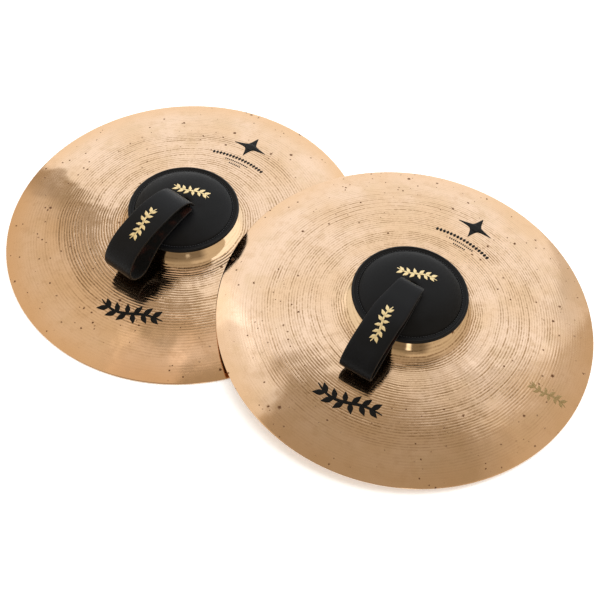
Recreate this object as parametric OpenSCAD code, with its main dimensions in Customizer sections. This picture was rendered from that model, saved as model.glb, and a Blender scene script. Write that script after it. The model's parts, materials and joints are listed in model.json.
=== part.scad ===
// A pair of orchestral hand cymbals, set down bell up. The lower cymbal lies flat on the
// surface, and the upper one leans on it: its near edge rests on the foot of the lower
// bell and its far edge on the surface. Each cymbal is a bronze plate with a round
// leather pad on its bell and a leather hand strap, whose four tails run down through
// pad and bell and are tied in a knot inside the bell.
// +Z is up, +X runs from the lower cymbal to the upper one. The origin is on the
// surface, below the middle of the pair.

/* [Cymbals] */
// Diameter of a cymbal across its edge
plate_d = 406.4; // [396:0.2:416]
// Rise of the bow above the edge
bow_h = 17.5; // [16:0.5:19]
// Rise of the bell above the bow
bell_h = 23.5; // [22:0.5:25]
// Diameter of the bell at half its height
bell_d = 115; // [112:0.5:118]
// Thickness of the metal in the bell and the bow
plate_t = 1.25; // [1.1:0.05:1.5]
// Thickness of the metal at the edge
edge_t = 0.9; // [0.7:0.05:1]
// Diameter of the strap hole in the bell
hole_d = 12.7; // [12.6:0.1:14]
// Distance between the axes of the two bells
spread = 271.3; // [270:0.1:274]

/* [Pads] */
// Diameter of a pad over its piping
pad_d = 123.6; // [122:0.2:126]
// Rise of the crowned top above the seam
pad_rise = 10.8; // [10:0.2:11]
// Thickness of the cover leather
leather_t = 1.6; // [1.4:0.1:1.8]
// Diameter of the rolled piping
piping_d = 4.4; // [4.2:0.1:4.8]
// Diameter of the strap hole in a pad
pad_hole_d = 15; // [14:0.5:18]
// Number of stitches round a pad
stitches = 120; // [96:1:128]

/* [Straps] */
// Width of a strap over its middle
strap_w = 37; // [34:0.5:40]
// Width of the lower strap at the pad
lower_neck_w = 33; // [28:0.5:34]
// Width of the upper strap at the pad
upper_neck_w = 28; // [26:0.5:34]
// Thickness of the strap leather
strap_t = 3; // [2.6:0.1:3]
// Direction in which the lower strap is laid, from +X
lower_turn = -101.8; // [-130:0.1:-90]
// Direction in which the upper strap is laid, from +X
upper_turn = -96.8; // [-130:0.1:-60]
// Width of one tail
tail_w = 5; // [4.4:0.1:5]
// Thickness of one tail
tail_t = 2.3; // [2:0.1:2.3]

/* [Knots] */
// Length of each thong across the knot
knot_w = 29; // [26:0.5:32]
// Width of a thong where it is flattened in the knot
thong_w = 8; // [7:0.25:8.5]

/* [Hidden] */
$fn = 64;

bronze = [0.84, 0.66, 0.47];
black_leather = [0.08, 0.08, 0.09];
strap_leather = [0.10, 0.10, 0.11];
felt = [0.55, 0.52, 0.47];
thread = [0.14, 0.14, 0.15];

plate_r = plate_d / 2;
bell_r = bell_d / 2;
hole_r = hole_d / 2;
plate_steps = 64;
land_w = 1.4;          // flat ring under the edge, on which a cymbal rests
bow_power = 3;         // the bow falls away with this power of the radius
bell_power = 12;       // how sharply the bell's shoulder turns down
bell_crown = 0.3;      // how much of the bell's height its round top gives up at the shoulder
rest_gap = 0.3;        // clearance between pieces that rest on each other
slope_step = 0.1;      // half the width over which a slope is measured
lean_guess = 2.5;
lean_repeats = 30;

// Height of the metal's upper surface at radius r.
function bow_z(r) = edge_t + bow_h * (1 - pow(r / plate_r, bow_power));
function bell_z(r) = bell_h * (1 - bell_crown * pow(r / bell_r, 2)) / (1 + pow(r / bell_r, bell_power));
function top_z(r) = bow_z(r) + bell_z(r);
function top_slope(r) = (top_z(r + slope_step) - top_z(r - slope_step)) / (2 * slope_step);
function under_z(r) = top_z(r) - plate_t * sqrt(1 + pow(top_slope(r), 2));

// Lean of the upper cymbal, found by repeating: its near edge must clear the lower
// cymbal's metal by rest_gap while its far edge is on the surface.
function lean_from(lean, n) = n == 0 ? lean :
    lean_from(asin((top_z(spread - plate_r * cos(lean)) + rest_gap) / plate_d), n - 1);
lean = lean_from(lean_guess, lean_repeats);
lower_x = (plate_r * (1 - cos(lean)) - spread) / 2;
upper_x = lower_x + spread;
upper_z = plate_r * sin(lean);

bell_top = top_z(0);
seam_z = bell_top + rest_gap;          // the covers meet here, level with the pad's underside
fit_gap = 0.1;                         // between pieces of one pad
flange_t = 1;                          // cover leather pared down where it enters the piping
piping_r = (pad_d - piping_d) / 2;
flange_inset = 0.4;                    // from the piping's centre in to the flange's edge
flange_r = piping_r - flange_inset;
flange_w = 6.2;
crown_r = flange_r - flange_w;         // foot of the crowned top
crown_power = 1.5;                     // over 1 gives the crown a flatter top than an ellipse
filling_gap = 2;                       // between the filling's edge and the cover
filling_drop = 1;                      // between the filling's top and the cover
stitch_r = (crown_r + piping_r - piping_d / 2) / 2;
stitch_len = 2;
stitch_d = 0.9;
pad_hole_r = pad_hole_d / 2;
flange_top = seam_z + fit_gap / 2 + flange_t;
flange_bottom = seam_z - fit_gap / 2 - flange_t;
pad_top = seam_z + pad_rise;
dome_steps = 16;

fold_inner_r = 1.6;
barrel_r = strap_t / 2 + fold_inner_r; // round fold where a loop turns out of the pad
fold_gap = 0.5;                        // between the fold and the pad's top
swing_z = pad_top + barrel_r + fold_gap;  // height of the line on which a loop swings
tail_proud = 0.2;                      // of the pad's top
tail_top = pad_top + tail_proud;
tail_gap = 0.4;                        // between tails
tail_s = (tail_t + tail_gap) / 2;      // places of the four tails in the strap hole
tail_y = (tail_w + tail_gap) / 2;
taper_len = 45;                        // a strap reaches its full width this far out
plan_reach = 130;                      // further out than any loop goes

knot_drop = 1.2;                       // from the bell's underside at its hole to the knot
knot_top = bell_top - plate_t - knot_drop;
knot_gap = 0.3;                        // between the pieces of a knot
thong_t = tail_t;
thong_gap = 3;                         // between two thongs that lie side by side
thong_offset = (thong_w + thong_gap) / 2;
upper_thong_z = knot_top - thong_t / 2;
lower_thong_z = knot_top - thong_t * 3 / 2 - knot_gap;
tail_bottom = knot_top + knot_gap;

// Side view of each loop: distance out from the bell's axis, and height above the top
// of the pad. The way goes up from the fold, out over the top, round the far end, and
// back over the pad's edge and crown.
return_run = [
    [60, -6.2], [54, -3.7], [47, -1.5], [40, 0], [30, 1.2], [20, 1.75], [10, 1.9], [1, 1.95]
];
lower_route = concat([
    [0, 5], [0.8, 8], [3, 12], [8, 17], [17, 21], [30, 23], [45, 23], [60, 21.3], [75, 18],
    [87, 13.3], [96, 7.2], [102.5, -0.5], [105.5, -8.5], [104.5, -16.5], [100, -22.8],
    [93, -26.3], [86, -26.2], [79, -22.4], [72.5, -16], [66, -10.2]
], return_run);
upper_route = concat([
    [0, 5], [3, 7.6], [9, 9.2], [18, 10.3], [35, 11.3], [54, 10.3], [70, 7.2], [84, 2.7],
    [96, -3.3], [104, -10], [108, -17], [107.3, -23], [103, -25.7], [97, -24], [89, -19],
    [79, -13.4], [69, -9]
], return_run);

// Smooth curve through a list of points, with three steps to each point.
function through(p, i, t) =
    let (a = p[max(i - 1, 0)], b = p[i], c = p[i + 1], d = p[min(i + 2, len(p) - 1)])
    0.5 * (2 * b + (c - a) * t + (2 * a - 5 * b + 4 * c - d) * t * t
           + (3 * b - a - 3 * c + d) * t * t * t);
function smooth(p, steps = 3) = [
    for (i = [0 : len(p) - 2], k = [0 : steps - 1]) through(p, i, k / steps),
    p[len(p) - 1]
];
function heading(p, i) =
    let (v = p[min(i + 1, len(p) - 1)] - p[max(i - 1, 0)]) v / norm(v);
function side(p, d) = [
    for (i = [0 : len(p) - 1]) let (h = heading(p, i)) p[i] + d * [-h[1], h[0]]
];
function reversed(p) = [for (i = [len(p) - 1 : -1 : 0]) p[i]];

module at_lower() {
    translate([lower_x, 0, 0]) children();
}

module at_upper() {
    translate([upper_x, 0, upper_z]) rotate([0, lean, 0]) children();
}

// Bell, bow and edge, with the strap hole.
module plate() {
    radii = [for (i = [0 : plate_steps]) hole_r + (plate_r - hole_r) * i / plate_steps];
    inner = [for (r = radii) if (r < plate_r - 2 * land_w) [r, under_z(r)]];
    color(bronze) rotate_extrude($fn = 180) polygon(concat(
        [for (r = radii) [r, top_z(r)]],
        [[plate_r, 0], [plate_r - land_w, 0]],
        reversed(inner)
    ));
}

// Half section of a crowned dome from the strap hole to its foot.
function dome(foot_r, base, rise, from_r) =
    let (start = asin(pow(from_r / foot_r, crown_power)))
    [for (i = [0 : dome_steps])
        let (a = start + (90 - start) * i / dome_steps)
        [foot_r * pow(sin(a), 1 / crown_power), base + rise * cos(a)]];

function pad_under_z(r) = seam_z - (seam_z - flange_bottom) * pow(r / crown_r, 2);

// Crowned leather disc with a flat flange round its edge.
module pad_top_cover() {
    outside = dome(crown_r, flange_top, pad_top - flange_top, pad_hole_r);
    inside_base = seam_z + fit_gap / 2;
    inside = dome(crown_r - leather_t, inside_base, pad_top - leather_t - inside_base, pad_hole_r);
    color(black_leather) rotate_extrude($fn = 120) polygon(concat(
        outside,
        [[flange_r, flange_top], [flange_r, inside_base]],
        reversed(inside)
    ));
}

// Nearly flat leather disc that lies on the bell.
module pad_bottom_cover() {
    radii = [for (i = [0 : dome_steps]) pad_hole_r + (crown_r - pad_hole_r) * i / dome_steps];
    inner_r = crown_r - 2 * leather_t;
    color(black_leather) rotate_extrude($fn = 120) polygon(concat(
        [for (r = radii) [r, pad_under_z(r)]],
        [[flange_r, flange_bottom], [flange_r, seam_z - fit_gap / 2],
         [crown_r - leather_t - 2 * fit_gap, seam_z - fit_gap / 2]],
        reversed([for (r = radii) if (r < inner_r) [r, pad_under_z(r) + leather_t]])
    ));
}

// Thick felt disc between the covers.
module pad_filling() {
    edge_r = crown_r - leather_t - filling_gap;
    bottom = seam_z + leather_t + fit_gap / 2;
    foot = bottom + fit_gap / 2;
    outside = dome(edge_r, foot, pad_top - leather_t - filling_drop - foot, pad_hole_r);
    color(felt) rotate_extrude($fn = 120)
        polygon(concat(outside, [[edge_r, bottom], [pad_hole_r, bottom]]));
}

// Rolled leather binding that grips both flanges.
module pad_piping() {
    slot_h = 2 * flange_t + 3 * fit_gap;
    color(black_leather) rotate_extrude($fn = 120) difference() {
        translate([piping_r, seam_z]) circle(d = piping_d);
        translate([crown_r, seam_z - slot_h / 2])
            square([flange_r + fit_gap - crown_r, slot_h]);
    }
}

// Stitches in a ring between the crown and the piping.
module pad_stitching() {
    color(thread) for (i = [0 : stitches - 1])
        rotate([0, 0, 360 * i / stitches])
            translate([stitch_r, 0, flange_top + (stitch_d + fit_gap) / 2])
                rotate([90, 0, 0]) cylinder(d = stitch_d, h = stitch_len, center = true, $fn = 16);
}

// Leather loop for the hand: a ribbon on its side route, narrowed towards the pad, and the
// round fold that it turns on.
module strap_loop(route, neck_w, turn) {
    line = smooth([for (p = route) [p[0], p[1] + pad_top]]);
    color(strap_leather) rotate([0, 0, turn]) intersection() {
        union() {
            rotate([90, 0, 0]) linear_extrude(height = strap_w, center = true)
                polygon(concat(side(line, strap_t / 2), reversed(side(line, -strap_t / 2))));
            translate([0, 0, swing_z]) rotate([90, 0, 0])
                cylinder(r = barrel_r, h = strap_w, center = true);
        }
        linear_extrude(height = plan_reach) polygon([
            [-plan_reach, -neck_w / 2], [0, -neck_w / 2], [taper_len, -strap_w / 2],
            [plan_reach, -strap_w / 2], [plan_reach, strap_w / 2], [taper_len, strap_w / 2],
            [0, neck_w / 2], [-plan_reach, neck_w / 2]
        ]);
    }
}

// Four tails side by side through pad and bell.
module strap_tails(turn) {
    color(strap_leather) rotate([0, 0, turn]) for (s = [-1, 1], y = [-1, 1])
        translate([s * tail_s - tail_t / 2, y * tail_y - tail_w / 2, tail_bottom])
            cube([tail_t, tail_w, tail_top - tail_bottom]);
}

// The tails flattened into four thongs, two laid across the other two.
module strap_knot(turn) {
    color(strap_leather) rotate([0, 0, turn]) for (side_of_knot = [-1, 1]) {
        translate([0, side_of_knot * thong_offset, upper_thong_z])
            cube([knot_w, thong_w, thong_t], center = true);
        translate([side_of_knot * thong_offset, 0, lower_thong_z])
            cube([thong_w, knot_w, thong_t], center = true);
    }
}

module lower_cymbal() { at_lower() plate(); }
module lower_pad_top_cover() { at_lower() pad_top_cover(); }
module lower_pad_bottom_cover() { at_lower() pad_bottom_cover(); }
module lower_pad_filling() { at_lower() pad_filling(); }
module lower_pad_piping() { at_lower() pad_piping(); }
module lower_pad_stitching() { at_lower() pad_stitching(); }
module lower_strap_loop() { at_lower() strap_loop(lower_route, lower_neck_w, lower_turn); }
module lower_strap_tails() { at_lower() strap_tails(lower_turn); }
module lower_strap_knot() { at_lower() strap_knot(lower_turn); }
module upper_cymbal() { at_upper() plate(); }
module upper_pad_top_cover() { at_upper() pad_top_cover(); }
module upper_pad_bottom_cover() { at_upper() pad_bottom_cover(); }
module upper_pad_filling() { at_upper() pad_filling(); }
module upper_pad_piping() { at_upper() pad_piping(); }
module upper_pad_stitching() { at_upper() pad_stitching(); }
module upper_strap_loop() { at_upper() strap_loop(upper_route, upper_neck_w, upper_turn); }
module upper_strap_tails() { at_upper() strap_tails(upper_turn); }
module upper_strap_knot() { at_upper() strap_knot(upper_turn); }

lower_cymbal();
lower_pad_top_cover();
lower_pad_bottom_cover();
lower_pad_filling();
lower_pad_piping();
lower_pad_stitching();
lower_strap_loop();
lower_strap_tails();
lower_strap_knot();
upper_cymbal();
upper_pad_top_cover();
upper_pad_bottom_cover();
upper_pad_filling();
upper_pad_piping();
upper_pad_stitching();
upper_strap_loop();
upper_strap_tails();
upper_strap_knot();
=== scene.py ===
import json
import math

import bpy
import numpy as np
from mathutils import Matrix, Vector


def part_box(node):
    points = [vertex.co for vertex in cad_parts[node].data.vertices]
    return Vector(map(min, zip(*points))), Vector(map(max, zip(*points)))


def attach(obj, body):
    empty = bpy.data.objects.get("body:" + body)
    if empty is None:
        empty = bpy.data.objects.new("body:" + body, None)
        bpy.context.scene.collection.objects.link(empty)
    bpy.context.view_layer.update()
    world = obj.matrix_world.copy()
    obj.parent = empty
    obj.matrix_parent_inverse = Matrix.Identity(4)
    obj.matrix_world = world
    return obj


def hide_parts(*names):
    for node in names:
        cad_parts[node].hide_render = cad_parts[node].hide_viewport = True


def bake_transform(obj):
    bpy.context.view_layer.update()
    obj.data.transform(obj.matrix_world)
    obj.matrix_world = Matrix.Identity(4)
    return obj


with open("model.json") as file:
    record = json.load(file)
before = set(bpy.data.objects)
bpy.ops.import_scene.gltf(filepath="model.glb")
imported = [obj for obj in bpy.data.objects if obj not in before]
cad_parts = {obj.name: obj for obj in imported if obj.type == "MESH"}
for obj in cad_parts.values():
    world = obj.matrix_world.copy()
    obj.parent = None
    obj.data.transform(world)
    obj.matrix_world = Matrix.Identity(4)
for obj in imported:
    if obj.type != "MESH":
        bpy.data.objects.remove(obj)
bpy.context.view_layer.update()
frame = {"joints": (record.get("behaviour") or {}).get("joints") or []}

scene = bpy.context.scene
joints = {joint["name"]: joint for joint in frame["joints"]}
SIDES = ("lower", "upper")
MM = 0.001


def axes(x, y, z):
    """The rotation that has these three directions as its axes."""
    return Matrix((x, y, z)).transposed().to_4x4()


# ---------------------------------------------------------------- camera
# Its place in metres, and its directions in degrees.
CAMERA_AT = (0.33893, -0.68369, 1.0118)
CAMERA_AZIMUTH, CAMERA_ELEVATION, CAMERA_ROLL = 25.68, 54.19, 1.03
LENS, SENSOR = 68.31, 36
NEAR, FAR = 0.05, 50


def make_camera():
    az, el, roll = (math.radians(a) for a in (CAMERA_AZIMUTH, CAMERA_ELEVATION, CAMERA_ROLL))
    ahead = Vector((-math.sin(az) * math.cos(el), math.cos(az) * math.cos(el), -math.sin(el)))
    across = Vector((math.cos(az), math.sin(az), 0))
    upward = across.cross(ahead)
    x = across * math.cos(roll) + upward * math.sin(roll)
    y = upward * math.cos(roll) - across * math.sin(roll)
    camera = bpy.data.objects.new("camera", bpy.data.cameras.new("camera"))
    scene.collection.objects.link(camera)
    camera.data.lens = LENS
    camera.data.sensor_width = SENSOR
    camera.data.clip_start, camera.data.clip_end = NEAR, FAR
    camera.matrix_world = Matrix.Translation(CAMERA_AT) @ axes(x, y, -ahead)
    scene.camera = camera
    scene.view_settings.view_transform = "Standard"
    scene.view_settings.look = "None"


make_camera()


# ---------------------------------------------------------------- node trees
class Nodes:
    """A short way to write a node tree."""

    def __init__(self, tree):
        self.tree = tree
        tree.nodes.clear()

    def put(self, socket, value):
        if isinstance(value, bpy.types.NodeSocket):
            self.tree.links.new(value, socket)
        else:
            socket.default_value = value

    def add(self, kind, inputs=None, **settings):
        node = self.tree.nodes.new(kind)
        for name, value in settings.items():
            setattr(node, name, value)
        for name, value in (inputs or {}).items():
            self.put(node.inputs[name], value)
        return node

    def math(self, operation, a, b=0.0):
        return self.add("ShaderNodeMath", {0: a, 1: b}, operation=operation).outputs[0]

    def product(self, first, *others):
        for other in others:
            first = self.math("MULTIPLY", first, other)
        return first

    def step(self, value, start, end, out_start=0.0, out_end=1.0):
        """A smooth change from out_start to out_end while the value goes from start to end."""
        inputs = {"Value": value, "From Min": start, "From Max": end, "To Min": out_start, "To Max": out_end}
        return self.add("ShaderNodeMapRange", inputs, interpolation_type="SMOOTHSTEP").outputs["Result"]

    def mix(self, factor, a, b):
        node = self.add("ShaderNodeMix", data_type="RGBA", blend_type="MIX")
        for index, value in ((0, factor), (6, a), (7, b)):
            self.put(node.inputs[index], value)
        return node.outputs[2]

    def tint(self, colour, mask, strength, tone):
        """The colour, taken towards the tone by the strength where the mask is 1."""
        return self.mix(self.math("MULTIPLY", mask, strength), colour, tone)

    def noise(self, vector, scale, detail=2.0, rough=0.5):
        inputs = {"Vector": vector, "Scale": scale, "Detail": detail, "Roughness": rough}
        return self.add("ShaderNodeTexNoise", inputs).outputs["Fac"]

    def split(self, vector):
        return self.add("ShaderNodeSeparateXYZ", {0: vector}).outputs

    def join(self, x, y, z):
        return self.add("ShaderNodeCombineXYZ", {0: x, 1: y, 2: z}).outputs[0]

    def object_place(self):
        return self.add("ShaderNodeTexCoord").outputs["Object"]

    def bump(self, strength, distance, height):
        inputs = {"Strength": strength, "Distance": distance, "Height": height}
        return self.add("ShaderNodeBump", inputs).outputs[0]

    def surface(self, **inputs):
        """The shader, whose sockets are named with _ for a space, and the material's output."""
        shader = self.add("ShaderNodeBsdfPrincipled", {k.replace("_", " "): v for k, v in inputs.items()})
        self.add("ShaderNodeOutputMaterial", {"Surface": shader.outputs[0]})


def rgb(r, g, b):
    return (r, g, b, 1.0)


# ---------------------------------------------------------------- studio
# The world is a dim, warm room. Its walls, its front and its lamp cover a stretch of azimuths
# in degrees and of heights, which are sines of the elevation. A pair of numbers gives where
# one of their soft edges starts and where it is complete.
ROOM, LEFT_WALL, RIGHT_WALL = rgb(0.54, 0.455, 0.345), rgb(0.92, 0.79, 0.62), rgb(0.80, 0.69, 0.55)
FRONT, LAMP = rgb(0.27, 0.22, 0.16), rgb(2.0, 1.9, 1.7)
LEFT_EDGES, LEFT_TOP = ((148.0, 154.0), (-120.0, -140.0)), (0.955, 0.925)
RIGHT_EDGES, RIGHT_TOP = ((74.0, 60.0), (-60.0, -40.0)), (0.93, 0.86)
FRONT_EDGES, FRONT_TOP = ((-130.0, -115.0), (-15.0, -35.0)), (0.80, 0.60)
LAMP_AZIMUTH, LAMP_WIDTH, LAMP_HEIGHTS = -57.0, (6.0, 1.5), ((0.12, 0.20), (0.62, 0.55))
# The left wall's first edge leans: degrees for each unit of height above LEAN_FROM.
WALL_LEAN, LEAN_FROM = 16.0, 0.42


def make_world():
    world = bpy.data.worlds.new("studio")
    scene.world = world
    world.use_nodes = True
    n = Nodes(world.node_tree)
    x, y, height = n.split(n.add("ShaderNodeTexCoord").outputs["Generated"])
    azimuth = n.math("MULTIPLY", n.math("ARCTAN2", y, x), 180 / math.pi)
    lean = n.math("MULTIPLY", n.math("SUBTRACT", height, LEAN_FROM), WALL_LEAN)
    leaning = n.math("ADD", azimuth, lean)
    left = n.math("MAXIMUM", n.step(leaning, *LEFT_EDGES[0]), n.step(azimuth, *LEFT_EDGES[1]))
    left = n.product(left, n.step(height, *LEFT_TOP))
    right = n.product(*(n.step(azimuth, *edge) for edge in RIGHT_EDGES), n.step(height, *RIGHT_TOP))
    front = n.product(*(n.step(azimuth, *edge) for edge in FRONT_EDGES), n.step(height, *FRONT_TOP))
    off_lamp = n.math("ABSOLUTE", n.math("SUBTRACT", azimuth, LAMP_AZIMUTH))
    lamp = n.product(n.step(off_lamp, *LAMP_WIDTH), *(n.step(height, *edge) for edge in LAMP_HEIGHTS))
    colour = ROOM
    for where, tone in ((left, LEFT_WALL), (right, RIGHT_WALL), (front, FRONT), (lamp, LAMP)):
        colour = n.mix(where, colour, tone)
    background = n.add("ShaderNodeBackground", {"Color": colour, "Strength": 1.0})
    n.add("ShaderNodeOutputWorld", {"Surface": background.outputs[0]})


# Large soft panels stand behind the object. Each one lights one cymbal, or the floor, and
# nothing else, so that each cymbal mirrors the panels in places of its own. Their radiance is
# that of their light in red, green and blue.
PANEL_DISTANCE = 3.0
KEY = (0.78, 0.87, 0.98)
HALF_KEY = tuple(0.5 * c for c in KEY)
FILL, TOP, FLOOR_LIGHT = (0.26, 0.35, 0.46), (0.36, 0.30, 0.26), (1.5, 1.66, 1.86)
LIT_FROM = {"lower": joints["lower_pad_turn"]["pos_m"], "upper": joints["upper_pad_turn"]["pos_m"],
            "floor": (0, 0, 0)}
# Name, direction of the middle, two directions that one edge passes through, width away from
# that edge and length along it, radiance. A direction is its azimuth and elevation in degrees.
PANELS = {
    "lower": [("panel lower", (92, 44), ((147, 25), (112, 70)), (5.6, 9.0), KEY),
              ("panel lower top", (187, 76), ((170, 69), (204, 69)), (0.8, 0.95), TOP),
              ("panel lower join", (122, 76), ((107, 72), (137, 72)), (0.6, 0.62), TOP)],
    "upper": [("panel upper", (106, 34), ((60, 67), (135, 65)), (4.2, 4.2), HALF_KEY),
              ("panel upper core", (112, 34), ((80, 59), (150, 64)), (4.2, 3.4), HALF_KEY),
              ("panel upper left", (186, 42), ((120, 66.6), (174, 70)), (3.6, 2.9), FILL)],
    "floor": [("panel floor", (90, 70), ((0, 0), (180, 0.1)), (7.0, 7.0), FLOOR_LIGHT)],
}


def aim(azimuth_deg, elevation_deg):
    a, e = math.radians(azimuth_deg), math.radians(elevation_deg)
    return Vector((math.cos(a) * math.cos(e), math.sin(a) * math.cos(e), math.sin(e)))


def panel(seen_from, name, toward, edge, size, radiance):
    """A soft panel that faces the point seen_from. Returns the collection of what it lights."""
    middle = aim(*toward)
    edge_plane = aim(*edge[0]).cross(aim(*edge[1])).normalized()
    if edge_plane.dot(middle) < 0:
        edge_plane = -edge_plane
    along = edge_plane.cross(middle).normalized()
    inward = middle.cross(along)
    if inward.dot(edge_plane) < 0:
        inward = -inward
    width, length = size
    from_edge = PANEL_DISTANCE * edge_plane.dot(middle) / edge_plane.dot(inward)
    centre = Vector(seen_from) + middle * PANEL_DISTANCE + inward * (width / 2 - from_edge)
    light = bpy.data.lights.new(name, "AREA")
    light.shape = "RECTANGLE"
    light.size, light.size_y = width, length
    light.energy = width * length * math.pi * max(radiance)
    light.color = [c / max(radiance) for c in radiance]
    o = bpy.data.objects.new(name, light)
    scene.collection.objects.link(o)
    o.matrix_world = Matrix.Translation(centre) @ axes(inward, middle.cross(inward), middle)
    o.light_linking.receiver_collection = bpy.data.collections.new(name + " lights")
    return o.light_linking.receiver_collection


make_world()
lit_groups = {group: [panel(LIT_FROM[group], *row) for row in rows] for group, rows in PANELS.items()}


# ---------------------------------------------------------------- materials
def material(name):
    m = bpy.data.materials.new(name)
    m.use_nodes = True
    return m, Nodes(m.node_tree)


BRONZE_PALE, BRONZE_WARM = rgb(0.755, 0.55, 0.395), rgb(0.69, 0.475, 0.30)
BRONZE_STAIN, BRONZE_DULL = rgb(0.58, 0.385, 0.235), rgb(0.62, 0.44, 0.27)
BRONZE_RIM, BRONZE_BELL = rgb(0.69, 0.435, 0.24), rgb(0.72, 0.53, 0.32)
# The grooves' dark tone is old polish with painted shade in their bottoms.
GROOVE_DIRT_AND_SHADE, DASH_TONE, PIT_BROWN = rgb(0.34, 0.21, 0.11), rgb(0.44, 0.29, 0.17), rgb(0.13, 0.05, 0.018)
# Radii in metres where the rim's and the bell's tones, the lathe's work and the pits start,
# and where they are complete.
RIM_BAND, BELL_BAND = (0.172, 0.203), (0.072, 0.060)
LATHED_FROM, LATHED_TO, PITTED = (0.060, 0.072), (0.165, 0.140), (0.085, 0.155)
TURNING_PITCH = 0.00085
# Two layers of pits: cells in a metre, the share of cells with a pit, and the largest pit.
PIT_LAYERS = ((90.0, 0.58, 0.105), (170.0, 0.46, 0.125))


def pits(n, flat, radius):
    """Small ragged pits, more of them further out."""
    ragged_edge = n.math("MULTIPLY", n.noise(flat, 620.0, 3.0, 0.7), 0.34)
    crowd = n.noise(flat, 20.0, 2.0)
    further_out = n.step(radius, *PITTED, 0.12, 1.0)
    pit = 0.0
    for scale, common, largest in PIT_LAYERS:
        cell = n.add("ShaderNodeTexVoronoi", {"Vector": flat, "Scale": scale, "Randomness": 1.0})
        chance = n.add("ShaderNodeSeparateColor", {0: cell.outputs["Color"]}).outputs
        share = n.product(further_out, n.step(crowd, 0.42, 0.62, 0.25 * common, 1.2 * common))
        picked = n.math("LESS_THAN", chance[0], share)
        size = n.math("MULTIPLY", n.math("POWER", chance[1], 2.0), largest)
        from_middle = n.math("SUBTRACT", n.math("ADD", cell.outputs["Distance"], ragged_edge), size)
        pit = n.math("MAXIMUM", pit, n.product(picked, n.step(from_middle, 0.29, 0.19)))
    return pit


def bronze(name, seed, rim_strength):
    m, n = material(name)
    x, y, _ = n.split(n.object_place())
    radius = n.math("SQRT", n.math("ADD", n.math("MULTIPLY", x, x), n.math("MULTIPLY", y, y)))
    turn = n.math("ARCTAN2", y, x)
    flat = n.join(x, y, seed)
    # Polar places, so that stains and dashes run along or across the lathe's grooves.
    polar = n.join(n.math("MULTIPLY", radius, 60.0), n.math("MULTIPLY", turn, 9.0), seed)
    dash_place = n.join(n.math("MULTIPLY", radius, 420.0), n.math("MULTIPLY", turn, 38.0), seed + 2)
    blotch = n.noise(polar, 1.6, 4.0, 0.6)
    dash = n.noise(dash_place, 1.0, 3.0, 0.6)
    cloud = n.noise(flat, 14.0, 3.0)
    patch = n.noise(flat, 55.0, 4.0, 0.65)
    bell = n.step(radius, *BELL_BAND)
    lathed = n.product(n.step(radius, *LATHED_FROM), n.step(radius, *LATHED_TO))
    colour = n.mix(n.step(cloud, 0.35, 0.7), BRONZE_PALE, BRONZE_WARM)
    colour = n.tint(colour, n.step(blotch, 0.48, 0.72), 0.45, BRONZE_STAIN)
    colour = n.tint(colour, n.step(patch, 0.46, 0.70), 0.40, BRONZE_DULL)
    colour = n.tint(colour, n.step(radius, *RIM_BAND), rim_strength, BRONZE_RIM)
    colour = n.tint(colour, bell, 0.7, BRONZE_BELL)
    # Old polish left in the bottom of the grooves, and painted shade there, darken them in uneven lengths.
    groove = n.add("ShaderNodeAttribute", attribute_name="groove").outputs["Fac"]
    groove = n.product(groove, n.step(dash, 0.28, 0.62, 0.15, 1.4))
    colour = n.tint(colour, groove, 0.80, GROOVE_DIRT_AND_SHADE)
    # Short darker dashes across the lathed band.
    colour = n.mix(n.product(lathed, n.step(dash, 0.56, 0.74, 0.0, 0.40)), colour, DASH_TONE)
    pit = pits(n, flat, radius)
    colour = n.tint(colour, pit, 0.92, PIT_BROWN)
    # Hair-fine turning marks, fainter in places.
    marks = n.math("SINE", n.math("MULTIPLY", radius, 2 * math.pi / TURNING_PITCH))
    marks = n.product(marks, n.step(n.noise(polar, 5.0, 2.0), 0.3, 0.7))
    height = n.math("ADD", n.math("MULTIPLY", marks, 0.5), n.math("MULTIPLY", pit, -3.0))
    height = n.math("ADD", height, n.product(dash, lathed, 2.2))
    rough = n.math("ADD", n.step(blotch, 0.3, 0.8, 0.08, 0.16), n.math("MULTIPLY", pit, 0.4))
    rough = n.math("SUBTRACT", rough, n.math("MULTIPLY", bell, 0.03))
    tangent = n.add("ShaderNodeTangent", direction_type="RADIAL", axis="Z").outputs[0]
    n.surface(Base_Color=colour, Metallic=1.0, Roughness=rough, Normal=n.bump(0.35, 0.00002, height),
              Anisotropic=0.35, Anisotropic_Rotation=0.25, Tangent=tangent)
    return m


def leather(name, dark, light, rough, grain, specular):
    m, n = material(name)
    place = n.object_place()
    cells = n.add("ShaderNodeTexVoronoi", {"Vector": place, "Scale": 950.0}).outputs["Distance"]
    pores = n.noise(place, 1500.0, 3.0, 0.6)
    cloud = n.noise(place, 45.0, 3.0)
    height = n.math("ADD", n.math("MULTIPLY", cells, 0.6), n.math("MULTIPLY", pores, 0.5))
    n.surface(Base_Color=n.mix(n.step(cloud, 0.35, 0.7), dark, light),
              Roughness=n.step(cloud, 0.3, 0.7, rough - 0.04, rough + 0.05),
              Specular_IOR_Level=specular, Normal=n.bump(grain, 0.0001, height))
    return m


def suede(name, dark, light):
    m, n = material(name)
    place = n.object_place()
    fuzz = n.noise(place, 900.0, 5.0, 0.7)
    worn = n.step(n.noise(place, 70.0, 3.0), 0.48, 0.70)
    n.surface(Base_Color=n.mix(n.product(n.step(fuzz, 0.3, 0.7), worn), dark, light), Roughness=0.85,
              Specular_IOR_Level=0.2, Sheen_Weight=0.02, Sheen_Roughness=0.5,
              Normal=n.bump(0.6, 0.0002, fuzz))
    return m


def thread(name, dark, light):
    m, n = material(name)
    ply = n.noise(n.object_place(), 2600.0, 2.0)
    n.surface(Base_Color=n.mix(ply, dark, light), Roughness=0.5, Specular_IOR_Level=0.35,
              Normal=n.bump(0.5, 0.0001, ply))
    return m


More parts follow.
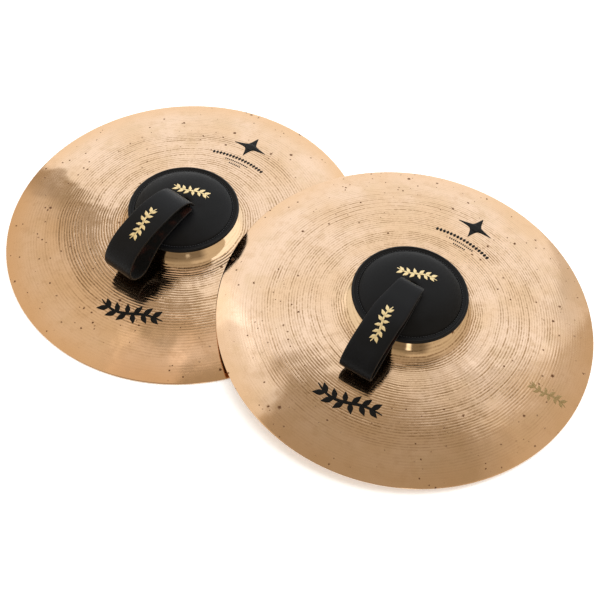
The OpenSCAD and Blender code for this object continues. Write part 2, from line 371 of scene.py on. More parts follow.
def foil(name, bright, rubbed):
    m, n = material(name)
    worn = n.noise(n.object_place(), 500.0, 4.0, 0.6)
    n.surface(Base_Color=n.mix(n.step(worn, 0.55, 0.75), bright, rubbed), Metallic=0.75, Roughness=0.42,
              Normal=n.bump(0.3, 0.00005, worn))
    return m


def ink(name, dark, light, metallic):
    m, n = material(name)
    thin = n.noise(n.object_place(), 260.0, 4.0, 0.6)
    n.surface(Base_Color=n.mix(n.step(thin, 0.55, 0.8), dark, light), Metallic=metallic, Roughness=0.4,
              Specular_IOR_Level=0.12, Normal=n.bump(0.3, 0.00005, thin))
    return m


def pale_floor():
    m, n = material("pale floor")
    n.surface(Base_Color=rgb(0.93, 0.93, 0.93), Roughness=0.9, Specular_IOR_Level=0.1,
              Emission_Color=rgb(1.0, 1.0, 1.0), Emission_Strength=0.35)
    return m


BRONZE = {"lower": bronze("bronze lower", 3.1, 0.75), "upper": bronze("bronze upper", 7.7, 0.45)}
PAD_LEATHER = leather("pad leather", rgb(0.0030, 0.0034, 0.0044), rgb(0.0050, 0.0055, 0.0070),
                      0.42, 0.20, 0.16)
PIPING_LEATHER = leather("piping leather", rgb(0.0025, 0.0025, 0.0030), rgb(0.0045, 0.0045, 0.0055),
                         0.40, 0.30, 0.20)
STRAP_LEATHER = leather("strap leather", rgb(0.0038, 0.0046, 0.0062), rgb(0.0056, 0.0066, 0.0092),
                        0.44, 0.16, 0.17)
STRAP_FLESH = suede("strap flesh side", rgb(0.003, 0.0028, 0.0028), rgb(0.060, 0.014, 0.007))
STRAP_EDGE = leather("strap edge", rgb(0.004, 0.0035, 0.0035), rgb(0.010, 0.007, 0.006), 0.50, 0.3, 0.25)
THREAD = thread("waxed thread", rgb(0.022, 0.025, 0.032), rgb(0.075, 0.082, 0.10))
FOIL = foil("gold foil", rgb(0.90, 0.74, 0.42), rgb(0.72, 0.54, 0.26))
BLACK_INK = ink("black ink", rgb(0.006, 0.006, 0.006), rgb(0.018, 0.014, 0.011), 0.0)
OLIVE_INK = ink("olive ink", rgb(0.42, 0.31, 0.15), rgb(0.54, 0.40, 0.22), 0.6)
# The faces of a strip of leather: its smooth side, its cut edges and its flesh side.
STRIP_FACES = [STRAP_LEATHER, STRAP_EDGE, STRAP_FLESH]
SMOOTH_SIDE, CUT_EDGE, FLESH_SIDE = 0, 1, 2


# ---------------------------------------------------------------- mesh helpers
def new_object(name, verts, faces, materials, place, body, smooth=True, indices=None):
    """A mesh from points in millimetres in its own frame, put in place and riding on a body."""
    mesh = bpy.data.meshes.new(name)
    mesh.from_pydata((np.asarray(verts, float) * MM).tolist(), [], [list(map(int, f)) for f in faces])
    for m in materials:
        mesh.materials.append(m)
    if indices is not None:
        mesh.polygons.foreach_set("material_index", np.asarray(indices, np.int32))
    mesh.polygons.foreach_set("use_smooth", [smooth] * len(mesh.polygons))
    mesh.update()
    o = bpy.data.objects.new(name, mesh)
    scene.collection.objects.link(o)
    o.matrix_world = place
    if body:
        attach(o, body)
    return o


def ring_faces(rings, around, closed_rings=True):
    """Quads between rings of points. Point k of ring i has the number i * around + k."""
    i, k = np.meshgrid(np.arange(rings if closed_rings else rings - 1), np.arange(around), indexing="ij")
    next_i, next_k = (i + 1) % rings, (k + 1) % around
    corners = [i * around + k, i * around + next_k, next_i * around + next_k, next_i * around + k]
    return np.stack(corners, -1).reshape(-1, 4)


def end_faces(around, last):
    """The two flat ends of a tube whose last ring starts at the point called last."""
    return [list(range(around)), [last + k for k in range(around)]]


def revolve(profile, steps):
    """A closed profile of (r, z), turned about Z: its points as rings, and its faces."""
    p = np.asarray(profile, float)
    a = np.arange(steps) * 2 * math.pi / steps
    r, z = p[:, 0][None, :], p[:, 1][None, :]
    points = np.stack([r * np.cos(a)[:, None], r * np.sin(a)[:, None], np.repeat(z, steps, 0)], -1)
    return points, ring_faces(steps, len(p))


def catmull(points, step, cuts=24):
    """A smooth line through the points, cut at an even spacing."""
    p = np.asarray(points, float)
    dense = []
    for i in range(len(p) - 1):
        a, b, c, d = p[max(i - 1, 0)], p[i], p[i + 1], p[min(i + 2, len(p) - 1)]
        for t in np.linspace(0, 1, cuts, endpoint=False):
            dense.append(0.5 * (2 * b + (c - a) * t + (2 * a - 5 * b + 4 * c - d) * t * t
                                + (3 * b - a - 3 * c + d) * t ** 3))
    dense = np.array(dense + [p[-1]])
    length = line_length(dense)
    count = max(2, int(round(length[-1] / step)) + 1)
    at = np.linspace(0, length[-1], count)
    return np.stack([np.interp(at, length, dense[:, k]) for k in range(p.shape[1])], -1)


def line_length(line):
    """The length along a line up to each of its points."""
    return np.concatenate([[0], np.cumsum(np.linalg.norm(np.diff(line, axis=0), axis=1))])


def directions(line):
    d = np.gradient(line, axis=0)
    return d / np.linalg.norm(d, axis=1)[:, None]


def strip_section(width, thick, across, corner=3):
    """Outline of a strip of leather with rounded edges: points of (u, v, which face)."""
    r = thick * 0.38
    u_end, v_end = width / 2 - r, thick / 2 - r
    flat = np.linspace(-u_end, u_end, across + 1)

    def rounding(u, v, start_deg):
        turns = [math.radians(start_deg - 90 * k / corner) for k in range(1, corner + 1)]
        return [(u + r * math.cos(t), v + r * math.sin(t), CUT_EDGE) for t in turns]

    outline = [(u, thick / 2, SMOOTH_SIDE) for u in flat]
    outline += rounding(u_end, v_end, 90) + rounding(u_end, -v_end, 0)
    outline += [(u, -thick / 2, FLESH_SIDE) for u in flat[::-1][1:]]
    outline += rounding(-u_end, -v_end, 270) + rounding(-u_end, v_end, 180)
    return outline[:-1]


def sweep(line, sides, normals, sections):
    """A closed tube with one outline at each point of a line: points, faces and which face each is."""
    rings = [[p + side * u + normal * v for u, v, _ in section]
             for p, side, normal, section in zip(line, sides, normals, sections)]
    around = len(sections[0])
    faces = [f[::-1] for f in ring_faces(len(rings), around, closed_rings=False).tolist()]
    kinds = [kind for _ in range(len(rings) - 1) for _, _, kind in sections[0]]
    start, end = end_faces(around, (len(rings) - 1) * around)
    return np.array(rings).reshape(-1, 3), faces + [start, end[::-1]], kinds + [CUT_EDGE, CUT_EDGE]


def join_parts(parts):
    verts, faces, kinds = [], [], []
    for part_verts, part_faces, part_kinds in parts:
        base = sum(len(v) for v in verts)
        verts.append(np.asarray(part_verts))
        faces += [[i + base for i in face] for face in part_faces]
        kinds += part_kinds
    return np.concatenate(verts), faces, kinds


def value_noise(u, v, seed, period):
    """Smooth noise on a grid of random numbers, from -1 to 1. It repeats in v after period cells."""
    rows = 96
    table = np.random.default_rng(int(seed * 1000)).uniform(-1, 1, (rows, period))
    iu, iv = np.floor(u).astype(int), np.floor(v).astype(int)
    fu, fv = u - iu, v - iv
    fu, fv = fu * fu * (3 - 2 * fu), fv * fv * (3 - 2 * fv)

    def at(i, k):
        return table[i % rows, k % period]

    return ((at(iu, iv) * (1 - fv) + at(iu, iv + 1) * fv) * (1 - fu)
            + (at(iu + 1, iv) * (1 - fv) + at(iu + 1, iv + 1) * fv) * fu)


# ---------------------------------------------------------------- shapes shared with the CAD
# Millimetres in a cymbal's own frame: Z is its axis, and its edge lies at 0.
low_corner, high_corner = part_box("lower_cymbal")
PLATE_R = (high_corner.x - low_corner.x) / 2 / MM
EDGE_T, PLATE_T = 0.9, 1.25
BOW_H, BELL_H, BELL_R = 17.5, 23.5, 57.5
HOLE_R, LAND_W = 6.35, 1.4
SEAM_Z, PAD_TOP = 42.2, 53.0
PIPING_R, PIPING_D = 59.6, 4.4
CROWN_R, CROWN_FOOT, PAD_HOLE_R = 53.0, 54.5, 7.5
STITCH_R, STITCHES = 55.2, 120
STRAP_W, STRAP_T, HOLE_STRAP_W = 37.0, 2.7, 10.6
NECK_W, TAPER_LEN = {"lower": 33.0, "upper": 28.0}, 45.0
KNOT_TOP, THONG_T, THONG_OFFSET = 39.45, 2.3, 5.5


def own_frame(side):
    """A cymbal's own frame, from the axis that its pad turns about."""
    joint = joints[side + "_pad_turn"]
    z = Vector(joint["axis"]).normalized()
    x = Vector((z.z, 0, -z.x))
    return Matrix.Translation(joint["pos_m"]) @ axes(x, z.cross(x), z)


def strap_frame(side):
    """A cymbal's frame turned about its axis, so that X runs out along its strap."""
    place = own_frame(side)
    swing = place.to_3x3().inverted() @ Vector(joints[side + "_loop_swing"]["axis"])
    out = Vector((0, 0, 1)).cross(swing)
    return place @ Matrix.Rotation(math.atan2(out.y, out.x), 4, "Z")


PLACE = {side: own_frame(side) for side in SIDES}
STRAP_PLACE = {side: strap_frame(side) for side in SIDES}


# ---------------------------------------------------------------- the metal's surface
# By radius: the spacing of the lathe's grooves, and how deep they are.
PITCH = {
    "lower": ([60, 84, 100, 112, 122, 150, 205], [2.7, 2.9, 3.1, 3.5, 3.1, 3.2, 3.3]),
    "upper": ([60, 76, 88, 100, 112, 130, 150, 205], [2.8, 2.5, 2.3, 2.8, 2.95, 2.7, 2.95, 2.7]),
}
DEPTH = {
    "lower": ([30, 63, 65, 79, 83, 96, 136, 152, 170, 200],
              [0.008, 0.020, 0.130, 0.110, 0.026, 0.044, 0.040, 0.014, 0.008, 0]),
    "upper": ([30, 63, 65, 76, 82, 96, 146, 160, 176, 200],
              [0.008, 0.020, 0.110, 0.090, 0.022, 0.036, 0.038, 0.016, 0.010, 0]),
}
PHASE_STEP = 0.1
phase_r = np.arange(5.0, 206.0, PHASE_STEP)
PHASE = {side: np.cumsum(PHASE_STEP / np.interp(phase_r, *PITCH[side])) for side in SIDES}
METAL_SEED = {"lower": 11.3, "upper": 47.9}
# Hammering, from broad to fine: depth, size across, shift, cells round the plate, own seed.
HAMMER = ((0.11, 22, 0, 64, 0), (0.17, 44, 7, 26, 1), (0.045, 9, 3, 130, 2))
HAMMER_FROM, HAMMER_FADE, RIM_FADE = 62, 30, 12
WANDER = 0.20


def top_z(r):
    bow = EDGE_T + BOW_H * (1 - (r / PLATE_R) ** 3)
    return bow + BELL_H * (1 - 0.3 * (r / BELL_R) ** 2) / (1 + (r / BELL_R) ** 12)


def slope(r):
    return (top_z(r + 0.1) - top_z(r - 0.1)) / 0.2


def grooves(side, r, a):
    """The lathe's grooves at radius r and angle a: their depth, and a wave from -1 to 1."""
    turns = (a / (2 * math.pi)) % 1.0
    seed = METAL_SEED[side]
    phase = np.interp(r, phase_r, PHASE[side])
    wander = WANDER * value_noise(r / 14, turns * 36, seed + 3, 36)
    depth = np.interp(r, *DEPTH[side]) * (1 + 0.75 * value_noise(r / 6, turns * 40, seed + 4, 40))
    depth = depth * (1 + 0.7 * value_noise(phase + 0.5, turns * 3, seed + 5, 3))
    return depth, np.cos(2 * math.pi * (phase + wander))


def groove_dirt_and_shade(side, r, a):
    """How dark the bottom of a groove is, from old polish and painted shade: 0 outside it, and up to 1.5 in
    the deepest.
    """
    depth, wave = grooves(side, r, a)
    return np.clip(depth / 0.05, 0, 1.5) * np.clip(0.2 - wave, 0, 1.2) / 1.2


def relief(side, r, a):
    """What the lathe and the hammer leave on the metal's upper face."""
    turns = (a / (2 * math.pi)) % 1.0
    hammered = np.clip((r - HAMMER_FROM) / HAMMER_FADE, 0, 1) * np.clip((PLATE_R - r) / RIM_FADE, 0, 1)
    dents = sum(deep * value_noise(r / size + shift, turns * cells, METAL_SEED[side] + own, cells)
                for deep, size, shift, cells, own in HAMMER)
    depth, wave = grooves(side, r, a)
    return dents * hammered + depth * wave


def surface(side, r, a, above=0.0):
    """A point on the metal's upper face, or above it."""
    return np.stack([r * np.cos(a), r * np.sin(a), top_z(r) + relief(side, r, a) + above], -1)


# ---------------------------------------------------------------- plates
PLATE_AROUND = 288
BELL_FOOT, RIM_FROM, RIM_ROUNDING = 58, 198, 0.45
BELL_RINGS, BOW_RINGS, RIM_RINGS, UNDER_RINGS = 34, 216, 8, 44
# The share of the upper face's relief that shows on the underside.
UNDER_RELIEF = 0.8
top_radii = np.concatenate([np.linspace(HOLE_R, BELL_FOOT, BELL_RINGS, endpoint=False),
                            np.linspace(BELL_FOOT, RIM_FROM, BOW_RINGS, endpoint=False),
                            np.linspace(RIM_FROM, PLATE_R - RIM_ROUNDING, RIM_RINGS)])


def build_plate(side):
    a = np.arange(PLATE_AROUND) * 2 * math.pi / PLATE_AROUND
    top_r, top_a = np.meshgrid(top_radii, a)
    top = surface(side, top_r, top_a)
    # The rolled edge and the land that it rests on, then the underside back to the hole.
    edge = [(PLATE_R - 0.12, top_z(PLATE_R) - 0.14), (PLATE_R, 0.45), (PLATE_R - 0.1, 0.12),
            (PLATE_R - 0.35, 0.0), (PLATE_R - LAND_W, 0.0)]
    under = [(r, top_z(r) - PLATE_T * math.sqrt(1 + slope(r) ** 2))
             for r in np.linspace(PLATE_R - 2.2 * LAND_W, HOLE_R, UNDER_RINGS)]
    rest = np.array(edge + under)
    rest_r, rest_a = np.meshgrid(rest[:, 0], a)
    rest_z = np.repeat(rest[:, 1][None, :], len(a), 0)
    below = slice(len(edge), None)
    rest_z[:, below] += UNDER_RELIEF * relief(side, rest_r[:, below], rest_a[:, below])
    bottom = np.stack([rest_r * np.cos(rest_a), rest_r * np.sin(rest_a), rest_z], -1)
    points = np.concatenate([top, bottom], 1)
    metal = new_object(side + "_plate_metal", points.reshape(-1, 3), ring_faces(*points.shape[:2]),
                       [BRONZE[side]], PLACE[side], side + "_plate")
    # The grooves' darkness: old polish and painted shade in their bottoms.
    dirt_and_shade = np.zeros(points.shape[:2])
    dirt_and_shade[:, :len(top_radii)] = groove_dirt_and_shade(side, top_r, top_a)
    attribute = metal.data.attributes.new("groove", "FLOAT", "POINT")
    attribute.data.foreach_set("value", dirt_and_shade.ravel().astype(np.float32))
    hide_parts(side + "_cymbal")


# ---------------------------------------------------------------- pads
PAD_AROUND = 240
pad_turns = (np.arange(PAD_AROUND) * 2 * math.pi / PAD_AROUND / (2 * math.pi))[:, None]
COVER_T = 1.05
FLANGE_R, FLANGE_TOP = PIPING_R - 0.4, SEAM_Z + COVER_T
CROWN_BASE, SHOULDER_R = SEAM_Z + 1.5, 46
WAVE_H, PUCKER_H, DISH_H = 0.22, 0.10, 0.9
PIPING_SIDES, PIPING_SWELL = 20, 0.025
# Where the piping's two ends meet, as a share of a turn, and how deep and long the nick is.
JOIN_AT, JOIN_DEPTH, JOIN_LEN = 0.62, 0.05, 1.2
STITCH_LEN, STITCH_RADIUS, STITCH_TIP, STITCH_ARCH, STITCH_LEAN = 2.1, 0.30, 0.07, 0.30, 0.18
STITCH_RINGS, STITCH_SIDES = 7, 8


def crown_z(r):
    s = np.clip((r / CROWN_FOOT) ** 1.5, 0, 1)
    return CROWN_BASE + (PAD_TOP - CROWN_BASE) * (1 - s * s) ** 0.68


def build_cushion(side):
    crown_r = np.concatenate([np.linspace(PAD_HOLE_R, SHOULDER_R, 22, endpoint=False),
                              np.linspace(SHOULDER_R, CROWN_FOOT - 0.35, 18)])
    top = [(r, crown_z(r)) for r in crown_r]
    # The cover dips into the row of stitches, then lifts to the piping.
    top += [(CROWN_FOOT - 0.1, FLANGE_TOP + 0.50), (CROWN_FOOT + 0.2, FLANGE_TOP + 0.12),
            (STITCH_R, FLANGE_TOP - 0.10), (STITCH_R + 0.7, FLANGE_TOP + 0.12),
            (STITCH_R + 1.6, FLANGE_TOP + 0.45), (FLANGE_R - 1.2, FLANGE_TOP + 0.50), (FLANGE_R, FLANGE_TOP)]
    low = [(FLANGE_R, SEAM_Z - COVER_T), (CROWN_R + 1, SEAM_Z - COVER_T)]
    low += [(r, SEAM_Z - COVER_T * (r / CROWN_R) ** 2) for r in np.linspace(CROWN_R, PAD_HOLE_R + 0.6, 24)]
    points, faces = revolve(top + low, PAD_AROUND)
    r = np.hypot(points[..., 0], points[..., 1])
    turns = np.repeat(pad_turns, points.shape[1], 1)
    on_top = np.zeros(points.shape[1])
    on_top[:len(top)] = 1
    # Slow waves of the stuffing, a pucker at each stitch, and a dish round the hole.
    wave = WAVE_H * value_noise(r / 17, turns * 12, 5.0 + METAL_SEED[side], 12)
    wave = wave * np.clip((CROWN_R + 1 - r) / 9, 0, 1)
    pucker = -PUCKER_H * (0.5 + 0.5 * np.cos(2 * math.pi * turns * STITCHES))
    pucker = pucker * np.exp(-((r - CROWN_R - 0.3) / 1.6) ** 2)
    dish = -DISH_H * np.exp(-((r - PAD_HOLE_R) / 2.2) ** 2)
    points[..., 2] += (wave + pucker + dish) * on_top[None, :]
    cushion = new_object(side + "_pad_cushion", points.reshape(-1, 3), faces, [PAD_LEATHER],
                         PLACE[side], side + "_pad")
    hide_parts(side + "_pad_top_cover", side + "_pad_bottom_cover", side + "_pad_filling")


def build_piping(side):
    """A roll of leather round the pad's edge, uneven by hand, with a nick where its ends meet."""
    angles = [2 * math.pi * k / PIPING_SIDES for k in range(PIPING_SIDES)]
    ring = [(PIPING_R + PIPING_D / 2 * math.cos(t), SEAM_Z + PIPING_D / 2 * math.sin(t)) for t in angles]
    points, faces = revolve(ring[::-1], PAD_AROUND)
    r = np.hypot(points[..., 0], points[..., 1])
    row = np.full_like(pad_turns, 3.5)
    swell = 1 + PIPING_SWELL * value_noise(row, pad_turns * 60, 9.0 + METAL_SEED[side], 60)
    from_join = (pad_turns - JOIN_AT) * 2 * math.pi * PIPING_R
    swell = swell - JOIN_DEPTH * np.exp(-(from_join / JOIN_LEN) ** 2)
    new_r = PIPING_R + (r - PIPING_R) * swell
    points[..., 2] = SEAM_Z + (points[..., 2] - SEAM_Z) * swell
    points[..., 0] *= new_r / r
    points[..., 1] *= new_r / r
    piping = new_object(side + "_pad_piping_roll", points.reshape(-1, 3), faces, [PIPING_LEATHER],
                        PLACE[side], side + "_pad")
    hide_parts(side + "_pad_piping")


def stitch(turn):
    """A short fat thread that dips into the leather at both ends."""
    c, s = math.cos(turn), math.sin(turn)
    verts = []
    for j in range(STITCH_RINGS):
        f = j / (STITCH_RINGS - 1)
        bulge = 1 - (2 * f - 1) ** 2
        fat = STITCH_RADIUS * math.sqrt(max(0.02, bulge)) + STITCH_TIP
        y = (f - 0.5) * STITCH_LEN
        for k in range(STITCH_SIDES):
            t = 2 * math.pi * k / STITCH_SIDES
            x = STITCH_R + STITCH_LEAN * (f - 0.5) + fat * math.cos(t)
            z = FLANGE_TOP + 0.02 + STITCH_ARCH * bulge + fat * math.sin(t)
            verts.append((x * c - y * s, x * s + y * c, z))
    faces = ring_faces(STITCH_RINGS, STITCH_SIDES, closed_rings=False).tolist()
    start, end = end_faces(STITCH_SIDES, (STITCH_RINGS - 1) * STITCH_SIDES)
    faces += [start[::-1], end]
    return verts, faces, [0] * len(faces)


def build_stitches(side):
    verts, faces, _ = join_parts([stitch(2 * math.pi * (i + 0.5) / STITCHES) for i in range(STITCHES)])
    stitches = new_object(side + "_pad_stitches", verts, faces, [THREAD], PLACE[side], side + "_pad")
    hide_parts(side + "_pad_stitching")


# ---------------------------------------------------------------- straps
# Side view of a strap: distance out, and height above the top of the pad. It comes up
# out of the hole, folds over, goes round the far end and lies back over the pad.
RISE = [(-1.35, -12), (-1.35, -7), (-1.45, -3), (-1.8, 0), (-2.0, 2.6)]
RETURN = [(60, -6.2), (54, -3.7), (47, -1.5), (40, 0), (30, 1.2), (20, 1.75), (10, 1.9), (5, 1.7),
          (2.4, 0.6), (1.5, -2), (1.35, -6), (1.35, -12)]
ROUTE = {
    "lower": RISE + [(-1.2, 5.4), (0.8, 8.4), (3, 12), (8, 17), (17, 21), (30, 23), (45, 23), (60, 21.3),
                     (75, 18), (87, 13.3), (96, 7.2), (102.5, -0.5), (105.5, -8.5), (104.5, -16.5),
                     (100, -22.8), (93, -26.3), (86, -26.2), (79, -22.4), (72.5, -16), (66, -10.2)] + RETURN,
    "upper": RISE + [(-1.2, 5.0), (3, 8.0), (9, 9.4), (18, 10.3), (35, 11.3), (54, 10.3), (70, 7.2),
                     (84, 2.7), (96, -3.3), (104, -10), (108, -17), (107.3, -23), (103, -25.7), (97, -24),
                     (89, -19), (79, -13.4), (69, -9)] + RETURN,
}
ROUTE_STEP, STRAP_CURL = 1.3, 0.35
# The strap is gathered into the hole near its two ends: how far out that reaches, how many
# points of the line it takes in, and the height over which the rising and the returning
# end open out.
GATHER_OUT, GATHER_POINTS, OPEN_RISING, OPEN_RETURNING = 6, 40, 6.5, 1.6


def strap_line(side):
    """The strap's line in its side view, and the directions that its smooth side faces."""
    line = catmull(ROUTE[side], ROUTE_STEP)
    line[:, 1] += PAD_TOP
    d = directions(line)
    return line, np.stack([-d[:, 1], d[:, 0]], -1)


def strap_width(side, out, height, k, count):
    neck = NECK_W[side]
    width = neck + (STRAP_W - neck) * min(max(out / TAPER_LEN, 0), 1)
    if abs(out) < GATHER_OUT and (k < GATHER_POINTS or k > count - GATHER_POINTS):
        opening = OPEN_RISING if k < count / 2 else OPEN_RETURNING
        lift = min(max((height - (PAD_TOP - 0.5)) / opening, 0), 1)
        width = HOLE_STRAP_W + (width - HOLE_STRAP_W) * lift ** 0.7
    return width


def build_strap(side):
    line, out = strap_line(side)
    count = len(line)
    zero = np.zeros(count)
    sections = []
    for k in range(count):
        width = strap_width(side, *line[k], k, count)
        curl = STRAP_CURL * min(1, max(0, (line[k, 0] - 8) / 20))
        sections.append([(u, v - curl * (2 * u / width) ** 4, kind)
                         for u, v, kind in strip_section(width, STRAP_T, across=12)])
    verts, faces, kinds = sweep(np.stack([line[:, 0], zero, line[:, 1]], -1),
                                np.repeat(np.array([[0.0, -1.0, 0.0]]), count, 0),
                                np.stack([out[:, 0], zero, out[:, 1]], -1), sections)
    place = STRAP_PLACE[side]
    ribbon = new_object(side + "_strap_ribbon", verts, faces, STRIP_FACES, place, None, indices=kinds)
    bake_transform(ribbon)
    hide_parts(side + "_strap_loop")


# The thongs' places in the hole, and their widths there and in the knot.
TAIL_X, TAIL_Y, TAIL_W, THONG_W = 1.35, 2.7, 5.0, 8.0
TAIL_DEPTHS = (1.5, 6, 10)
THONG_SLACK = 0.1
# A thong in the knot goes over its first neighbour and under its second one: place along it,
# and height as a share of the weave's.
WEAVE = ((-14.2, 0.2), (-10.5, 0.8), (-5.5, 1), (0, 0), (5.5, -1), (10.5, -0.8), (14.2, -0.2))


def thong(points, across, width):
    """A flat thong along a line, its width along the direction across."""
    line = catmull(points, 1.2)
    sides = np.repeat(np.array([across], float), len(line), 0)
    normals = np.cross(directions(line), sides)
    normals /= np.linalg.norm(normals, axis=1)[:, None]
    return sweep(line, sides, normals, [strip_section(width, THONG_T - THONG_SLACK, across=4)] * len(line))


def strap_part(side, name, parts, node):
    verts, faces, kinds = join_parts(parts)
    o = new_object(side + name, verts, faces, STRIP_FACES, STRAP_PLACE[side], side + "_strap", indices=kinds)
    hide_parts(side + node)


def build_knot(side):
    heights = [PAD_TOP - depth for depth in TAIL_DEPTHS] + [KNOT_TOP + 0.2]
    tails = [thong([(x, y, z) for z in heights], (0, 1, 0), TAIL_W)
             for x in (-TAIL_X, TAIL_X) for y in (-TAIL_Y, TAIL_Y)]
    strap_part(side, "_strap_tail_ends", tails, "_strap_tails")
    upper_level, lower_level = KNOT_TOP - THONG_T / 2 - 0.1, KNOT_TOP - 1.5 * THONG_T - 0.3
    middle, wave = (upper_level + lower_level) / 2, (upper_level - lower_level) / 2
    thongs = []
    for offset, flip in ((-THONG_OFFSET, 1), (THONG_OFFSET, -1)):
        thongs.append(thong([(x, offset, middle + flip * wave * h) for x, h in WEAVE], (0, 1, 0), THONG_W))
        thongs.append(thong([(offset, y, middle - flip * wave * h) for y, h in WEAVE], (-1, 0, 0), THONG_W))
    strap_part(side, "_strap_woven_knot", thongs, "_strap_knot")


# ---------------------------------------------------------------- ornaments with no letters
# A stroke is a line of (x, y, half width). Drawings are about 2 wide before they are scaled.
LEAF = ((0, 0.15), (0.3, 0.9), (0.55, 1.0), (1.0, 0.05))


def leaf(x, y, turn_deg, long, fat):
    c, s = math.cos(math.radians(turn_deg)), math.sin(math.radians(turn_deg))
    return [(x + c * long * along, y + s * long * along, fat * half) for along, half in LEAF]


def vine_y(x):
    return 0.10 * math.sin(math.pi * x)


def leafy_vine():
    """A waving stem with six pairs of leaves, the same from either end."""
    strokes = [[(x, vine_y(x), 0.016 + 0.032 * (1 - x * x)) for x in (k / 10 for k in range(-10, 11))]]
    for x, tilt in ((0.10, 62), (0.38, 50), (0.66, 38)):
        y = vine_y(x)
        strokes += [leaf(x, y, tilt, 0.36, 0.080), leaf(x - 0.04, y, -tilt, 0.34, 0.076),
                    leaf(-x, -y, 180 + tilt, 0.36, 0.080), leaf(0.04 - x, -y, 180 - tilt, 0.34, 0.076)]
    return strokes


def lozenges(count, gap, long, high, y):
    middles = [(i - (count - 1) / 2) * gap for i in range(count)]
    return [[(x - long / 2, y, 0.05), (x, y, high / 2), (x + long / 2, y, 0.05)] for x in middles]


VINE = leafy_vine()
# A plain star with four points.
STAR = [[(0.0, -0.85, 0.02), (0.0, -0.36, 0.17), (0.0, 0.02, 0.36), (0.0, 0.40, 0.17), (0.0, 0.90, 0.02)],
        [(-1.05, 0.02, 0.02), (-0.44, 0.02, 0.14), (0.0, 0.02, 0.30), (0.44, 0.02, 0.14), (1.05, 0.02, 0.02)]]
LOZENGE_ROWS = (lozenges(17, 5.0, 4.5, 5.2, -24.5) + lozenges(13, 3.1, 2.4, 2.8, -31)
                + lozenges(7, 3.1, 2.4, 2.6, -36))


def stroke_mesh(stroke, scale, put, step, cuts=5):
    """A stroke as a thin closed strip. put(points, above) lays drawing points on a surface."""
    line = catmull(np.array(stroke, float) * scale, step)
    xy, half = line[:, :2], np.maximum(line[:, 2], 0.05)
    d = np.gradient(xy, axis=0)
    d /= np.linalg.norm(d, axis=1)[:, None] + 1e-9
    left = np.stack([-d[:, 1], d[:, 0]], -1)
    flat = np.stack([xy + left * (half * c)[:, None] for c in np.linspace(-1, 1, cuts)], 1)
    upper, lower = (put(flat.reshape(-1, 2), above).reshape(*flat.shape[:2], 3) for above in (True, False))
    verts = np.concatenate([upper, lower[:, ::-1]], 1).reshape(-1, 3)
    faces = ring_faces(len(line), 2 * cuts, closed_rings=False).tolist()
    start, end = end_faces(2 * cuts, (len(line) - 1) * 2 * cuts)
    faces += [start[::-1], end]
    return verts, faces, [0] * len(faces)


def ornament(name, strokes, scale, put, ink_or_foil, place, body, step):
    verts, faces, _ = join_parts([stroke_mesh(stroke, scale, put, step) for stroke in strokes])
    new_object(name, verts, faces, [ink_or_foil], place, body)


def on_plate(side, middle_r, middle_deg, up):
    """Lays a drawing on the bronze. Its y points away from the bell where up is 1, or to it."""
    def put(xy, above):
        r = middle_r + up * xy[:, 1]
        a = math.radians(middle_deg) - up * xy[:, 0] / middle_r
        return surface(side, r, a, PLATE_INK if above else -INK_ROOT)
    return put


def along_radius(side, middle_r, middle_deg):
    """Lays a drawing on the bronze with its x pointing away from the bell."""
    def put(xy, above):
        a = math.radians(middle_deg) + xy[:, 1] / middle_r
        return surface(side, middle_r + xy[:, 0], a, STAMP_INK if above else -INK_ROOT)
    return put


def on_pad(middle_r, middle_deg):
    """Lays a drawing on the pad's crown, its y pointing away from the hole."""
    turn = math.radians(middle_deg)
    x_dir = np.array([math.sin(turn), -math.cos(turn)])
    y_dir = np.array([math.cos(turn), math.sin(turn)])

    def put(xy, above):
        x, y = (y_dir * middle_r + xy[:, :1] * x_dir + xy[:, 1:2] * y_dir).T
        z = crown_z(np.hypot(x, y)) + (PAD_FOIL if above else -PAD_FOIL_ROOT)
        return np.stack([x, y, z], -1)
    return put


def on_strap(side, middle):
    """Lays a drawing on the strap's smooth side, its x running out along the strap."""
    line, out = strap_line(side)
    length = line_length(line)
    rising = slice(8, int(np.argmax(line[:, 0])))
    start = float(np.interp(middle, line[rising, 0], length[rising]))

    def put(xy, above):
        at = start + xy[:, 0]
        lift = STRAP_T / 2 + (STRAP_FOIL if above else -STRAP_FOIL_ROOT)
        x, z = (np.interp(at, length, line[:, k]) + np.interp(at, length, out[:, k]) * lift for k in (0, 1))
        return np.stack([x, xy[:, 1], z], -1)
    return put


# How far the ornaments stand proud of a surface, and how far they reach into it.
PLATE_INK, STAMP_INK, INK_ROOT = 0.10, 0.06, 0.08
PAD_FOIL, PAD_FOIL_ROOT, STRAP_FOIL, STRAP_FOIL_ROOT = 0.32, 0.3, 0.10, 0.15
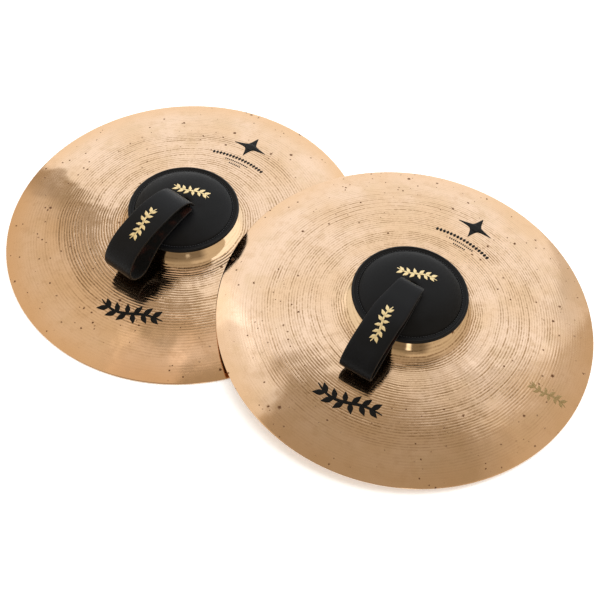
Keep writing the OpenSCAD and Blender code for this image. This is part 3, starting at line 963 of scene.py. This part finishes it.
# Their places: radius, angle and scale, and on a strap the distance out.
PLATE_VINE_R, PLATE_VINE_DEG, PLATE_VINE_SCALE = 133.5, {"lower": 273.5, "upper": 267.0}, 37.0
STAR_R, STAR_DEG, STAR_SCALE = 141.0, {"lower": 86.5, "upper": 80.0}, 20.0
PAD_VINE_R, PAD_VINE_DEG = 19.5, {"lower": 91.0, "upper": 96.0}
STRAP_VINE_OUT = {"lower": 61.0, "upper": 62.0}
STAMP_R, STAMP_DEG, SMALL_VINE_SCALE = 171.0, 352.0, 22.0
COARSE, FINE = 0.7, 0.5


def build_ornaments(side):
    place, plate = PLACE[side], side + "_plate"
    ornament(side + "_plate_flourish", VINE, PLATE_VINE_SCALE,
             on_plate(side, PLATE_VINE_R, PLATE_VINE_DEG[side], -1.0), BLACK_INK, place, plate, COARSE)
    by_star = on_plate(side, STAR_R, STAR_DEG[side], 1.0)
    ornament(side + "_plate_crest", STAR, STAR_SCALE, by_star, BLACK_INK, place, plate, COARSE)
    ornament(side + "_plate_lozenges", LOZENGE_ROWS, 1.0, by_star, BLACK_INK, place, plate, FINE)
    ornament(side + "_pad_flourish", VINE, SMALL_VINE_SCALE, on_pad(PAD_VINE_R, PAD_VINE_DEG[side]),
             FOIL, place, side + "_pad", FINE)
    ornament(side + "_strap_flourish", VINE, SMALL_VINE_SCALE, on_strap(side, STRAP_VINE_OUT[side]),
             FOIL, STRAP_PLACE[side], side + "_loop", FINE)


# ---------------------------------------------------------------- the pair of cymbals
for side in SIDES:
    build_plate(side)
    build_cushion(side)
    build_piping(side)
    build_stitches(side)
    build_strap(side)
    build_knot(side)
    build_ornaments(side)
# A faint stamp near the upper plate's edge.
ornament("upper_plate_stamp", VINE, SMALL_VINE_SCALE, along_radius("upper", STAMP_R, STAMP_DEG),
         OLIVE_INK, PLACE["upper"], "upper_plate", COARSE)


# ---------------------------------------------------------------- floor, and what each panel lights
FLOOR_HALF, FLOOR_Z = 9000, -0.6
corners = [(x * FLOOR_HALF, y * FLOOR_HALF, FLOOR_Z) for x, y in ((-1, -1), (1, -1), (1, 1), (-1, 1))]
floor = new_object("floor", corners, [(0, 1, 2, 3)], [pale_floor()], Matrix.Identity(4), None, smooth=False)

for o in [o for o in scene.objects if o.type == "MESH"]:
    for group, collections in lit_groups.items():
        if o.name.startswith(group):
            for collection in collections:
                collection.objects.link(o)

bpy.context.view_layer.update()
